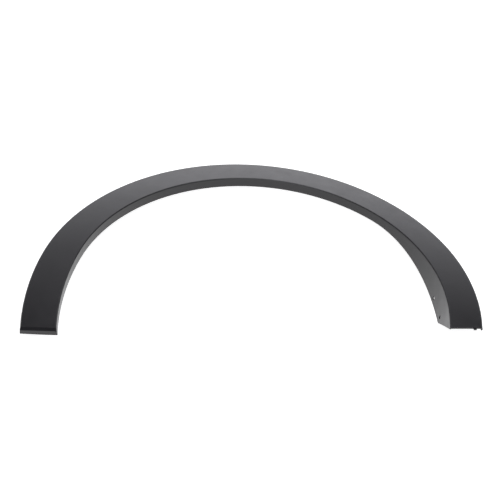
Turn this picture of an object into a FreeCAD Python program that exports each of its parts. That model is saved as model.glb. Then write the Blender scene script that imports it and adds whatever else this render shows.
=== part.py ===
# Rear wheel arch trim: one thin-walled plastic moulding that frames a wheel opening.
# It lies on its back: Z points away from the car's side, Y points to the top of the arch,
# and the origin is the middle of the underside.
# An angle round the arch runs from the open short leg, over the top, to the closed long leg.
import FreeCAD, Part
import math
import os

# Plan of the arch about the wheel's axis, in millimetres and degrees
OPENING_RADIUS = 400.0       # crease round the wheel opening
BAND_WIDTH = 81.4            # crease to outer rim
LEG_RADIUS = 700.0           # crease down the long leg, gentler than the opening
LEG_START = 167.0            # angle where the long leg leaves the opening's circle
LONG_LEG = 250.0             # run from there to the closed end, along the crease
LONG_TAPER = 7.5             # narrowing of the band over that run
LONG_END_SLANT = 18.8        # turn of the closed end from square to its leg
LEG_SECTIONS = 4             # sections that shape the long leg
SHORT_SPLAY = 1.5            # outward lean of the short leg
SHORT_LEG = 28.8             # straight run to the open end, along the crease
SHORT_TAPER = 7.3            # narrowing of the band towards the short leg
SHORT_TAPER_START = 36.0     # angle where that narrowing begins
SHORT_END_SLANT = 25.5       # turn of the open end from square to its leg
TAPER_EASE = 1.5             # power that eases both narrowings in

# Section of the moulding
WALL = 2.8
RIM_HEIGHT = 14.0            # corner of face and rim above the body panel
RIM_ROLL = 6.0               # rounding of that corner
CREASE_HEIGHT = 38.0         # corner of face and flange above the body panel
CREASE_RADIUS = 2.2          # rounding of that corner
CROWN_RISE = 0.8             # bulge of the face over a straight line
CROWN_SHARE = 0.7            # share of the face that the bulge's rounding takes
FLANGE_DEPTH = 21.8          # crease to flange edge, straight down
FLANGE_LEAN = 2.0            # inward lean of the flange over its depth
LEG_FLANGE_DEPTH = 15.0      # flange at the closed end
LEG_FLANGE_LEAN = 3.0

# Ear: towards the open end the flange deepens past the body panel, leans in and takes two screws
EAR_DEPTH = 60.5             # crease to flange edge at the ear, straight down
EAR_REACH = 12.2             # inward lean of the flange over that depth
EAR_START = 54.5             # angle where the flange begins to deepen
EAR_FULL = 9.0               # angle where the ear has its full size
EAR_SECTIONS = 8             # sections that shape it
SCREW_HOLE = 8.0             # diameter
SCREW_DROP = 47.0            # hole's centre below the crease, along the flange
SCREW_START = 52.0           # lower hole past the start of the short leg, along the crease
SCREW_PITCH = 61.0           # lower to upper hole, along the crease

# Open end: rim and flange are cut back under the face, and a tab locates the neighbouring trim
UNDERCUT_ANGLE = 36.5        # slope of the cut from level
UNDERCUT_DROP = 4.0          # start of the cut below the crease
TAB_WIDTH = 6.5
TAB_THICKNESS = 2.4
TAB_LENGTH = 3.0             # reach past the end of the face
TAB_ROOT = 1.56              # length under the face, along the leg
TAB_INSET = 16.5             # tab's middle to the rim corner, along the face

# Closed end: an upright wall with a flat bevel between it and the face
BEVEL = 6.2                  # depth of the bevel along the face and down the wall

# Clip seats under the face: three-sided boxes whose floor has a slot for a clip's neck
SEAT_ANGLES = (28.0, 54.0, 80.0, 106.0, 132.0, 158.0, 176.0)
SEAT_MIDDLE = 38.0           # crease to the seat's middle
SEAT_WIDTH = 26.0            # along the arch
SEAT_SPAN = 24.0             # across the band
SEAT_WALL = 2.2
SEAT_LEVEL = 4.0             # underside of the seat above the body panel
SEAT_SLOT = 8.0              # width of the slot

# Gussets that stiffen the crease from behind
GUSSET_ANGLES = (15.0, 41.0, 67.0, 93.0, 119.0, 145.0, 169.0)
GUSSET_REACH = 18.0          # along the face
GUSSET_DROP = 12.0           # along the flange
GUSSET_THICKNESS = 1.8

LEG_TURN = math.degrees(LONG_LEG / LEG_RADIUS)
LEG_END = LEG_START + LEG_TURN
CUT_SIZE = 4 * BAND_WIDTH    # blocks that trim the ends
UP = FreeCAD.Vector(0, 0, 1)
CENTRE = FreeCAD.Vector(0, 0, 0)


def unit(angle):
    """Direction in plan at an angle from X."""
    turn = math.radians(angle)
    return FreeCAD.Vector(math.cos(turn), math.sin(turn), 0)


SHORT_WAY = unit(SHORT_SPLAY - 90.0)     # down the short leg


def crease_point(angle):
    """Foot of the crease in plan at an angle round the arch."""
    if angle > LEG_START:
        return unit(LEG_START) * (OPENING_RADIUS - LEG_RADIUS) + unit(angle) * LEG_RADIUS
    return unit(angle) * OPENING_RADIUS


def ear_share(angle):
    """Share of the ear's full shape at an angle round the arch, eased from 0 to 1."""
    share = (EAR_START - angle) / (EAR_START - EAR_FULL)
    share = min(max(share, 0.0), 1.0)
    return share * share * (3 - 2 * share)


def leg_share(angle):
    """Share of the long leg that is passed at an angle round the arch, eased in."""
    return max((angle - LEG_START) / LEG_TURN, 0.0) ** TAPER_EASE


def short_share(angle):
    """Share of the narrowing towards the short leg at an angle round the arch, eased in."""
    return max((SHORT_TAPER_START - angle) / (SHORT_TAPER_START - SHORT_SPLAY), 0.0) ** TAPER_EASE


def skin_at(angle):
    """Corners of the visible skin from rim foot to flange edge at an angle round the arch.

    Each corner is its distance outward from the crease, its height and its rounding.
    """
    ear = ear_share(angle)
    leg = leg_share(angle)
    width = BAND_WIDTH - SHORT_TAPER * short_share(angle) - LONG_TAPER * leg
    depth = FLANGE_DEPTH + (EAR_DEPTH - FLANGE_DEPTH) * ear + (LEG_FLANGE_DEPTH - FLANGE_DEPTH) * leg
    lean = FLANGE_LEAN + (EAR_REACH - FLANGE_LEAN) * ear + (LEG_FLANGE_LEAN - FLANGE_LEAN) * leg
    rise = CREASE_HEIGHT - RIM_HEIGHT
    slope = math.hypot(width, rise)
    crown_out = width / 2 + CROWN_RISE * rise / slope
    crown_height = RIM_HEIGHT + rise / 2 + CROWN_RISE * width / slope
    crown_radius = CROWN_SHARE * (slope / 2) ** 2 / CROWN_RISE
    return [
        (width, 0.0, 0.0),
        (width, RIM_HEIGHT, RIM_ROLL),
        (crown_out, crown_height, crown_radius),
        (0.0, CREASE_HEIGHT, CREASE_RADIUS),
        (-lean, CREASE_HEIGHT - depth, 0.0),
    ]


def set_in(skin, depth):
    """Corners that lie a depth behind the skin, in the same order."""
    points = [FreeCAD.Vector(x, y, 0) for x, y, rounding in skin]
    lines = []
    for start, end in zip(points, points[1:]):
        along = (end - start).normalize()
        inward = FreeCAD.Vector(-along.y, along.x, 0)
        lines.append((start + inward * depth, along))
    corners = [(lines[0][0].x, lines[0][0].y, 0.0)]
    for (first, along), (second, onward), corner in zip(lines, lines[1:], skin[1:]):
        gap = second - first
        travel = (gap.x * onward.y - gap.y * onward.x) / (along.x * onward.y - along.y * onward.x)
        meet = first + along * travel
        corners.append((meet.x, meet.y, max(corner[2] - depth, 0.0)))
    last, along = lines[-1]
    tip = last + along * points[-1].distanceToPoint(points[-2])
    corners.append((tip.x, tip.y, 0.0))
    return corners


def bevelled(corners):
    """The same open line with a flat in place of each rounding."""
    points = [FreeCAD.Vector(x, y, 0) for x, y, rounding in corners]
    line = [corners[0]]
    for i in range(1, len(points) - 1):
        back = (points[i - 1] - points[i]).normalize()
        ahead = (points[i + 1] - points[i]).normalize()
        reach = corners[i][2] / math.tan(back.getAngle(ahead) / 2)
        if reach > 0:
            start = points[i] + back * reach
            line.append((start.x, start.y, 0.0))
        end = points[i] + ahead * reach
        line.append((end.x, end.y, 0.0))
    return line + [corners[-1]]


def outline(corners, place):
    """Closed wire through the corners, each rounded by its own radius, set in space by place."""
    points = [FreeCAD.Vector(x, y, 0) for x, y, rounding in corners]
    count = len(points)
    starts = []
    middles = []
    ends = []
    for i, corner in enumerate(points):
        back = (points[i - 1] - corner).normalize()
        ahead = (points[(i + 1) % count] - corner).normalize()
        half = back.getAngle(ahead) / 2
        radius = corners[i][2]
        starts.append(corner + back * (radius / math.tan(half)))
        ends.append(corner + ahead * (radius / math.tan(half)))
        middles.append(corner + (back + ahead).normalize() * (radius / math.sin(half) - radius))
    edges = []
    for i in range(count):
        if corners[i][2] > 0:
            edges.append(Part.Arc(place(starts[i]), place(middles[i]), place(ends[i])).toShape())
        edges.append(Part.makeLine(place(ends[i]), place(starts[(i + 1) % count])))
    return Part.Wire(edges)


def station(angle):
    """Map from a section's own plane to the upright plane at an angle round the arch."""
    foot = crease_point(angle)
    outward = unit(angle)
    return lambda p: foot + outward * p.x + UP * p.y


def wall_corners(angle):
    """Corners of the moulding's wall: the skin and the hidden line one wall behind it."""
    skin = skin_at(angle)
    return skin + bevelled(set_in(skin, WALL))[::-1]


def section(angle):
    """Outline of the moulding's wall at an angle round the arch."""
    return outline(wall_corners(angle), station(angle))


def run_through(corners_of, first, last, count):
    """Smooth bar between two angles, of the outline that corners_of gives for each angle."""
    step = (last - first) / (count - 1)
    angles = [first + step * i for i in range(count)]
    return Part.makeLoft([outline(corners_of(angle), station(angle)) for angle in angles], True)


def half_space(point, normal):
    """Block that lies on the normal's side of a plane through the point."""
    corner = FreeCAD.Vector(-CUT_SIZE / 2, -CUT_SIZE / 2, 0)
    block = Part.makeBox(CUT_SIZE, CUT_SIZE, CUT_SIZE, corner)
    block.Placement = FreeCAD.Placement(point, FreeCAD.Rotation(UP, normal))
    return block


def long_bar(corners_of):
    """Bar down the long leg and past its end, of the outline that corners_of gives for each angle."""
    past = math.degrees(BAND_WIDTH / 2 / LEG_RADIUS)
    return run_through(corners_of, LEG_START, LEG_END + past, LEG_SECTIONS)


def short_bar(corners):
    """Bar of one outline down the short leg and past its end."""
    face = Part.Face(outline(corners, station(SHORT_SPLAY)))
    return face.extrude(SHORT_WAY * (SHORT_LEG + BAND_WIDTH))


def band():
    """Wall of the whole arch, legs included, before its ends are cut."""
    long_leg = long_bar(wall_corners)
    plain_arc = Part.Face(section(EAR_START)).revolve(CENTRE, UP, LEG_START - EAR_START)
    spread = run_through(wall_corners, EAR_START, SHORT_SPLAY, EAR_SECTIONS)
    short_leg = short_bar(wall_corners(SHORT_SPLAY))
    return long_leg.fuse([plain_arc, spread, short_leg])


def close_long_end(trim):
    """Cut the long leg to length and close it with a bevelled wall."""
    rim, crown, crease = skin_at(LEG_END)[1:4]
    across = (unit(LEG_END) * (rim[0] - crease[0]) + UP * (rim[1] - crease[1])).normalize()
    out = unit(LEG_END + 90.0 - LONG_END_SLANT)
    top = crease_point(LEG_END) + UP * CREASE_HEIGHT
    face_way = (out - across * out.dot(across)).normalize()
    face_up = across.cross(face_way)
    bevel_way = (face_way + face_up).normalize()
    bevel_top = top - face_way * BEVEL
    cuts = [half_space(top, out), half_space(bevel_top, bevel_way)]
    inner_end = half_space(top - out * WALL, out)
    inner_bevel = half_space(bevel_top - bevel_way * WALL, bevel_way)
    filled = long_bar(lambda angle: set_in(skin_at(angle), WALL / 2))
    end_wall = filled.cut(cuts).cut(filled.cut([inner_end, inner_bevel]))
    return trim.cut(cuts).fuse(end_wall)


def short_end():
    """Point on the crease's open end, and the way out through that end."""
    point = crease_point(SHORT_SPLAY) + SHORT_WAY * SHORT_LEG
    return point, unit(SHORT_SPLAY - 90.0 + SHORT_END_SLANT)


def cut_short_end(trim):
    """Cut the short leg to length, and cut its rim and flange back under the face."""
    point, out = short_end()
    slope = math.radians(UNDERCUT_ANGLE)
    down = FreeCAD.Vector(0, -math.sin(slope), -math.cos(slope))
    start = point + UP * (CREASE_HEIGHT - UNDERCUT_DROP)
    return trim.cut([half_space(point, out), half_space(start, down)])


def locating_tab():
    """Small tongue that lies under the face and reaches past the open end."""
    rim, crown = set_in(skin_at(SHORT_SPLAY), WALL / 2)[1:3]
    along = FreeCAD.Vector(crown[0] - rim[0], crown[1] - rim[1], 0).normalize()
    under = FreeCAD.Vector(-along.y, along.x, 0)
    near = FreeCAD.Vector(rim[0], rim[1], 0) + along * (TAB_INSET - TAB_WIDTH / 2)
    far = near + along * TAB_WIDTH
    loop = [near, far, far + under * TAB_THICKNESS, near + under * TAB_THICKNESS]
    point, out = short_end()
    middle = station(SHORT_SPLAY)((near + far) * 0.5)
    to_end = (point - middle).dot(out) / SHORT_WAY.dot(out)
    bar = short_bar([(p.x, p.y, 0.0) for p in loop])
    bar.translate(SHORT_WAY * (to_end - TAB_ROOT))
    return bar.cut(half_space(point + out * TAB_LENGTH, out))


def under_face(skin, width):
    """Space under the middle of the wall, down to the body panel, a width along the arch."""
    roof = set_in(skin, WALL / 2)
    loop = roof + [(roof[-1][0], 0.0, 0.0)]
    face = Part.Face(outline(loop, lambda p: FreeCAD.Vector(p.x, -width / 2, p.y)))
    return face.extrude(FreeCAD.Vector(0, width, 0))


def clip_seat(angle):
    """Clip seat with X across the band from the crease and Y along the arch."""
    inner = SEAT_MIDDLE - SEAT_SPAN / 2
    floor = SEAT_LEVEL + SEAT_WALL
    box = Part.makeBox(SEAT_SPAN, SEAT_WIDTH, CREASE_HEIGHT - SEAT_LEVEL,
                       FreeCAD.Vector(inner, -SEAT_WIDTH / 2, SEAT_LEVEL))
    room_width = SEAT_WIDTH - 2 * SEAT_WALL
    room = Part.makeBox(SEAT_SPAN - SEAT_WALL, room_width, CREASE_HEIGHT - floor,
                        FreeCAD.Vector(inner, -room_width / 2, floor))
    slot = Part.makeBox(SEAT_SPAN / 2, SEAT_SLOT, SEAT_WALL,
                        FreeCAD.Vector(inner, -SEAT_SLOT / 2, SEAT_LEVEL))
    slot_end = Part.makeCylinder(SEAT_SLOT / 2, SEAT_WALL, FreeCAD.Vector(SEAT_MIDDLE, 0, SEAT_LEVEL))
    return box.cut([room, slot, slot_end]).common(under_face(skin_at(angle), SEAT_WIDTH))


def gusset(angle):
    """Stiffening web in the crease, with X across the band from the crease."""
    crown, crease, tip = set_in(skin_at(angle), WALL / 2)[2:5]
    corner = FreeCAD.Vector(crease[0], -GUSSET_THICKNESS / 2, crease[1])
    up_face = FreeCAD.Vector(crown[0] - crease[0], 0, crown[1] - crease[1]).normalize()
    down_flange = FreeCAD.Vector(tip[0] - crease[0], 0, tip[1] - crease[1]).normalize()
    loop = [corner, corner + up_face * GUSSET_REACH, corner + down_flange * GUSSET_DROP, corner]
    return Part.Face(Part.makePolygon(loop)).extrude(FreeCAD.Vector(0, GUSSET_THICKNESS, 0))


def placed(shape, angle):
    """Shape carried to an angle round the arch."""
    moved = shape.rotated(CENTRE, UP, angle)
    moved.translate(crease_point(angle))
    return moved


def screw_hole(angle):
    """Drill square to the ear, with X across the band from the crease."""
    crease, edge = skin_at(angle)[3:5]
    down = FreeCAD.Vector(edge[0] - crease[0], 0, edge[1] - crease[1]).normalize()
    inward = FreeCAD.Vector(-down.z, 0, down.x)
    spot = FreeCAD.Vector(crease[0], 0, crease[1]) + down * SCREW_DROP
    return Part.makeCylinder(SCREW_HOLE / 2, 3 * WALL, spot - inward * WALL, inward)


def wheel_arch_trim():
    """The whole moulding, its origin at the middle of its underside."""
    trim = cut_short_end(close_long_end(band()))
    seats = [placed(clip_seat(angle), angle) for angle in SEAT_ANGLES]
    gussets = [placed(gusset(angle), angle) for angle in GUSSET_ANGLES]
    runs = (SCREW_START, SCREW_START + SCREW_PITCH)
    hole_angles = [SHORT_SPLAY + math.degrees(run / OPENING_RADIUS) for run in runs]
    holes = [placed(screw_hole(angle), angle) for angle in hole_angles]
    trim = trim.fuse(seats + gussets + [locating_tab()]).cut(holes)
    box = trim.optimalBoundingBox(False)
    trim.translate(FreeCAD.Vector(-box.Center.x, -box.Center.y, -box.ZMin))
    return trim


os.makedirs("parts", exist_ok=True)
wheel_arch_trim().exportStep("parts/wheel_arch_trim.step")
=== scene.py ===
import math

import bpy
from mathutils import Matrix, Vector

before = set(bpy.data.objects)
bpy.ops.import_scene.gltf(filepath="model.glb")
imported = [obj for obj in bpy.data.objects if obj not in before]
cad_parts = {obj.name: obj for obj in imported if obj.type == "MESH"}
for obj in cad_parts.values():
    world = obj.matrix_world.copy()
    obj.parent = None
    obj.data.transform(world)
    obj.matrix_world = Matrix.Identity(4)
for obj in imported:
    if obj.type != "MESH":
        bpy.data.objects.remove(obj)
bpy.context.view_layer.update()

# Camera, fitted to the trim's outline in a 500 by 500 picture
CAMERA_DISTANCE = 4.0
CAMERA_ELEVATION = math.radians(41.13)
CAMERA_ROLL = math.radians(6.62)
CAMERA_FOCUS = 1818.0 / 500.0            # focal length in picture widths
CAMERA_TARGET = Vector((-0.0258, 0.0620, 0.0))
SENSOR_WIDTH = 36.0

# Finish of the moulding
PLASTIC_BLACK = (0.0115, 0.0112, 0.013, 1.0)
PLASTIC_SCUFFED = (0.0155, 0.015, 0.017, 1.0)
PLASTIC_IOR = 1.5
GRAIN_SCALE = 1400.0
GRAIN_FINE_SHARE = 0.6                   # fine noise added to the pebbles of the grain
GRAIN_STRENGTH = 0.12
GRAIN_HEIGHT = 0.0002
MOTTLE_SCALE = 30.0
MOTTLE_RANGE = (0.3, 0.7)                # mottling that spans the roughness below
ROUGHNESS_RANGE = (0.29, 0.36)
SMOOTH_ANGLE = math.radians(22.0)        # edges bent less than this are shaded smooth
WELD_DISTANCE = 1e-6

# Studio
FLOOR_SIZE = 60.0
FLOOR_WHITE = (0.76, 0.76, 0.76, 1.0)
FLOOR_LIFT = 0.9                         # brings the lit floor up to white in the picture
FLOOR_SHINE = 0.85                       # the same, in reflections and through glass
GLOW_TINT = (0.955, 0.95, 1.0, 1.0)
GLOW_STRENGTH = 1.8                      # before and behind the object, low down
DIM_STRENGTH = 0.06                      # overhead and at the sides
GLOW_FULL = 0.115                        # the glow fades between these, over X plus a share of Z
GLOW_GONE = 0.9
GLOW_HEIGHT_SHARE = 0.5
GLOW_SHIFT = 0.015                       # moves the middle of the glow towards the long leg
LAMP_SIZE = 2.0
LAMP_POWER = 30.0
LAMP_PLACE = Vector((0.0, -0.3, 2.6))
LAMP_TARGET = Vector((0.0, 0.0, 0.0))

# Closed end of the long leg, in metres
END_CREASE = Vector((-0.39588, -0.31959, 0.06107))       # crease where it meets the end wall
END_EDGE = Vector((0.937, -0.188, 0.294)).normalized()
END_EDGE_LENGTH = 0.082
END_FACE_NORMAL = Vector((-0.3063, -0.0401, 0.951))
END_WALL_NORMAL = Vector((-0.1966, -0.9805, 0.0))
END_BEVEL_DEPTH = 0.003                  # corner to the bevel's flat
END_BLOCK = 0.12                         # side of the block that cuts the bevel


def new_tree(tree):
    """Empty node tree and short ways to add nodes and links to it."""
    tree.nodes.clear()

    def add(kind, **values):
        node = tree.nodes.new(kind)
        for name, value in values.items():
            setattr(node, name, value)
        return node

    return add, tree.links.new


def moulded_grain():
    """Node group: fine mould grain and broad, faint mottling, from a place on the surface."""
    group = bpy.data.node_groups.new("moulded_grain", "ShaderNodeTree")
    face = group.interface
    face.new_socket("Place", in_out="INPUT", socket_type="NodeSocketVector")
    face.new_socket("Grain Scale", in_out="INPUT", socket_type="NodeSocketFloat").default_value = GRAIN_SCALE
    face.new_socket("Mottle Scale", in_out="INPUT", socket_type="NodeSocketFloat").default_value = MOTTLE_SCALE
    face.new_socket("Height", in_out="OUTPUT", socket_type="NodeSocketFloat")
    face.new_socket("Mottle", in_out="OUTPUT", socket_type="NodeSocketFloat")
    add, link = new_tree(group)
    given = add("NodeGroupInput")
    result = add("NodeGroupOutput")
    pebble = add("ShaderNodeTexVoronoi", feature="SMOOTH_F1")
    fine = add("ShaderNodeTexNoise")
    fine.inputs["Detail"].default_value = 3.0
    both = add("ShaderNodeMath", operation="MULTIPLY_ADD")
    both.inputs[1].default_value = GRAIN_FINE_SHARE
    mottle = add("ShaderNodeTexNoise")
    mottle.inputs["Detail"].default_value = 4.0
    mottle.inputs["Roughness"].default_value = 0.6
    link(given.outputs["Place"], pebble.inputs["Vector"])
    link(given.outputs["Place"], fine.inputs["Vector"])
    link(given.outputs["Place"], mottle.inputs["Vector"])
    link(given.outputs["Grain Scale"], pebble.inputs["Scale"])
    link(given.outputs["Grain Scale"], fine.inputs["Scale"])
    link(given.outputs["Mottle Scale"], mottle.inputs["Scale"])
    link(fine.outputs["Fac"], both.inputs[0])
    link(pebble.outputs["Distance"], both.inputs[2])
    link(both.outputs["Value"], result.inputs["Height"])
    link(mottle.outputs["Fac"], result.inputs["Mottle"])
    return group


def black_plastic(grain):
    """Satin black injection-moulded plastic."""
    material = bpy.data.materials.new("black_plastic")
    material.use_nodes = True
    add, link = new_tree(material.node_tree)
    output = add("ShaderNodeOutputMaterial")
    shader = add("ShaderNodeBsdfPrincipled")
    shader.inputs["IOR"].default_value = PLASTIC_IOR
    place = add("ShaderNodeTexCoord")
    texture = add("ShaderNodeGroup", node_tree=grain)
    tint = add("ShaderNodeMix", data_type="RGBA")
    tint.inputs["A"].default_value = PLASTIC_BLACK
    tint.inputs["B"].default_value = PLASTIC_SCUFFED
    sheen = add("ShaderNodeMapRange")
    sheen.inputs["From Min"].default_value = MOTTLE_RANGE[0]
    sheen.inputs["From Max"].default_value = MOTTLE_RANGE[1]
    sheen.inputs["To Min"].default_value = ROUGHNESS_RANGE[0]
    sheen.inputs["To Max"].default_value = ROUGHNESS_RANGE[1]
    bump = add("ShaderNodeBump")
    bump.inputs["Strength"].default_value = GRAIN_STRENGTH
    bump.inputs["Distance"].default_value = GRAIN_HEIGHT
    link(place.outputs["Object"], texture.inputs["Place"])
    link(texture.outputs["Mottle"], tint.inputs["Factor"])
    link(tint.outputs["Result"], shader.inputs["Base Color"])
    link(texture.outputs["Mottle"], sheen.inputs["Value"])
    link(sheen.outputs["Result"], shader.inputs["Roughness"])
    link(texture.outputs["Height"], bump.inputs["Height"])
    link(bump.outputs["Normal"], shader.inputs["Normal"])
    link(shader.outputs["BSDF"], output.inputs["Surface"])
    return material


def shape_nodes(piece, name):
    """Modifier on a piece whose nodes start from its welded mesh, with the ends to join up."""
    tree = bpy.data.node_groups.new(name, "GeometryNodeTree")
    tree.interface.new_socket("Geometry", in_out="INPUT", socket_type="NodeSocketGeometry")
    tree.interface.new_socket("Geometry", in_out="OUTPUT", socket_type="NodeSocketGeometry")
    add, link = new_tree(tree)
    given = add("NodeGroupInput")
    result = add("NodeGroupOutput")
    weld = add("GeometryNodeMergeByDistance")
    weld.inputs["Distance"].default_value = WELD_DISTANCE
    link(given.outputs["Geometry"], weld.inputs["Geometry"])
    piece.modifiers.new(name, "NODES").node_group = tree
    return add, link, weld.outputs["Geometry"], result.inputs["Geometry"]


def bevel_closed_end(piece):
    """Even flat bevel along the edge between the face and the closed end's wall."""
    add, link, welded, finished = shape_nodes(piece, "bevel_closed_end")
    out = (END_FACE_NORMAL + END_WALL_NORMAL).normalized()
    middle = END_CREASE - END_EDGE * (END_EDGE_LENGTH / 2) + out * (END_BLOCK / 2 - END_BEVEL_DEPTH)
    across = END_EDGE.cross(out).normalized()
    turn = Matrix((across.cross(out), across, out)).transposed()
    spot = piece.matrix_world.inverted() @ Matrix.Translation(middle) @ turn.to_4x4()
    block = add("GeometryNodeMeshCube")
    block.inputs["Size"].default_value = (END_BLOCK, END_BLOCK, END_BLOCK)
    place = add("GeometryNodeTransform")
    place.inputs["Translation"].default_value = spot.to_translation()
    place.inputs["Rotation"].default_value = spot.to_euler()
    cut = add("GeometryNodeMeshBoolean", operation="DIFFERENCE")
    link(block.outputs["Mesh"], place.inputs["Geometry"])
    link(welded, cut.inputs[0])
    link(place.outputs["Geometry"], cut.inputs[1])
    link(cut.outputs["Mesh"], finished)


def smooth_faces(piece):
    """Shade the curved faces smooth and keep the sharp edges of the moulding."""
    add, link, welded, finished = shape_nodes(piece, "smooth_by_angle")
    angle = add("GeometryNodeInputMeshEdgeAngle")
    gentle = add("FunctionNodeCompare", data_type="FLOAT", operation="LESS_THAN")
    gentle.inputs["B"].default_value = SMOOTH_ANGLE
    faces = add("GeometryNodeSetShadeSmooth", domain="FACE")
    edges = add("GeometryNodeSetShadeSmooth", domain="EDGE")
    link(welded, faces.inputs["Geometry"])
    link(faces.outputs["Geometry"], edges.inputs["Geometry"])
    link(angle.outputs["Unsigned Angle"], gentle.inputs["A"])
    link(gentle.outputs["Result"], edges.inputs["Shade Smooth"])
    link(edges.outputs["Geometry"], finished)
    weigh = piece.modifiers.new("weighted_normals", "WEIGHTED_NORMAL")
    weigh.mode = "FACE_AREA"
    weigh.keep_sharp = True


def white_floor():
    """Large pale floor that shows white in the picture and keeps a soft shadow."""
    half = FLOOR_SIZE / 2
    mesh = bpy.data.meshes.new("floor")
    corners = [(-half, -half, 0), (half, -half, 0), (half, half, 0), (-half, half, 0)]
    mesh.from_pydata(corners, [], [(0, 1, 2, 3)])
    floor = bpy.data.objects.new("floor", mesh)
    bpy.context.collection.objects.link(floor)
    material = bpy.data.materials.new("white_floor")
    material.use_nodes = True
    add, link = new_tree(material.node_tree)
    output = add("ShaderNodeOutputMaterial")
    paper = add("ShaderNodeBsdfDiffuse")
    paper.inputs["Color"].default_value = FLOOR_WHITE
    lift = add("ShaderNodeEmission")
    ray = add("ShaderNodeLightPath")
    mirrored = add("ShaderNodeMath", operation="MAXIMUM")
    shine = add("ShaderNodeMath", operation="MULTIPLY")
    shine.inputs[1].default_value = FLOOR_SHINE
    strength = add("ShaderNodeMath", operation="MULTIPLY_ADD")
    strength.inputs[1].default_value = FLOOR_LIFT
    total = add("ShaderNodeAddShader")
    link(ray.outputs["Is Glossy Ray"], mirrored.inputs[0])
    link(ray.outputs["Is Transmission Ray"], mirrored.inputs[1])
    link(mirrored.outputs["Value"], shine.inputs[0])
    link(ray.outputs["Is Camera Ray"], strength.inputs[0])
    link(shine.outputs["Value"], strength.inputs[2])
    link(strength.outputs["Value"], lift.inputs["Strength"])
    link(paper.outputs["BSDF"], total.inputs[0])
    link(lift.outputs["Emission"], total.inputs[1])
    link(total.outputs["Shader"], output.inputs["Surface"])
    mesh.materials.append(material)


def studio_world():
    """White low down before and behind the object, fading to dim sides and ceiling."""
    world = bpy.data.worlds.new("studio")
    bpy.context.scene.world = world
    world.use_nodes = True
    add, link = new_tree(world.node_tree)
    output = add("ShaderNodeOutputWorld")
    glow = add("ShaderNodeBackground")
    way = add("ShaderNodeTexCoord")
    axes = add("ShaderNodeSeparateXYZ")
    shift = add("ShaderNodeMath", operation="ADD")
    shift.inputs[1].default_value = GLOW_SHIFT
    aside = add("ShaderNodeMath", operation="ABSOLUTE")
    away = add("ShaderNodeMath", operation="MULTIPLY_ADD")
    away.inputs[1].default_value = GLOW_HEIGHT_SHARE
    fade = add("ShaderNodeMapRange", interpolation_type="SMOOTHSTEP")
    fade.inputs["From Min"].default_value = GLOW_FULL
    fade.inputs["From Max"].default_value = GLOW_GONE
    fade.inputs["To Min"].default_value = GLOW_STRENGTH
    fade.inputs["To Max"].default_value = DIM_STRENGTH
    glow.inputs["Color"].default_value = GLOW_TINT
    link(way.outputs["Generated"], axes.inputs["Vector"])
    link(axes.outputs["X"], shift.inputs[0])
    link(shift.outputs["Value"], aside.inputs[0])
    link(axes.outputs["Z"], away.inputs[0])
    link(aside.outputs["Value"], away.inputs[2])
    link(away.outputs["Value"], fade.inputs["Value"])
    link(fade.outputs["Result"], glow.inputs["Strength"])
    link(glow.outputs["Background"], output.inputs["Surface"])


def overhead_lamp():
    """Square soft lamp over the object."""
    data = bpy.data.lights.new("overhead_lamp", "AREA")
    data.shape = "SQUARE"
    data.size = LAMP_SIZE
    data.energy = LAMP_POWER
    light = bpy.data.objects.new("overhead_lamp", data)
    light.location = LAMP_PLACE
    light.rotation_euler = (LAMP_TARGET - LAMP_PLACE).to_track_quat("-Z", "Y").to_euler()
    bpy.context.collection.objects.link(light)


def photo_camera():
    """Camera at the photograph's viewing angle."""
    right = Vector((1, 0, 0))
    up = Vector((0, math.sin(CAMERA_ELEVATION), math.cos(CAMERA_ELEVATION)))
    back = Vector((0, -math.cos(CAMERA_ELEVATION), math.sin(CAMERA_ELEVATION)))
    cosine, sine = math.cos(CAMERA_ROLL), math.sin(CAMERA_ROLL)
    data = bpy.data.cameras.new("camera")
    data.sensor_width = SENSOR_WIDTH
    data.lens = CAMERA_FOCUS * SENSOR_WIDTH
    camera = bpy.data.objects.new("camera", data)
    bpy.context.collection.objects.link(camera)
    axes = Matrix((right * cosine + up * sine, up * cosine - right * sine, back)).transposed()
    camera.matrix_world = Matrix.Translation(CAMERA_TARGET + back * CAMERA_DISTANCE) @ axes.to_4x4()
    bpy.context.scene.camera = camera


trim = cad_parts["wheel_arch_trim"]
trim.data.materials.clear()
trim.data.materials.append(black_plastic(moulded_grain()))
bevel_closed_end(trim)
smooth_faces(trim)

white_floor()
studio_world()
overhead_lamp()
photo_camera()
bpy.context.scene.view_settings.view_transform = "Standard"
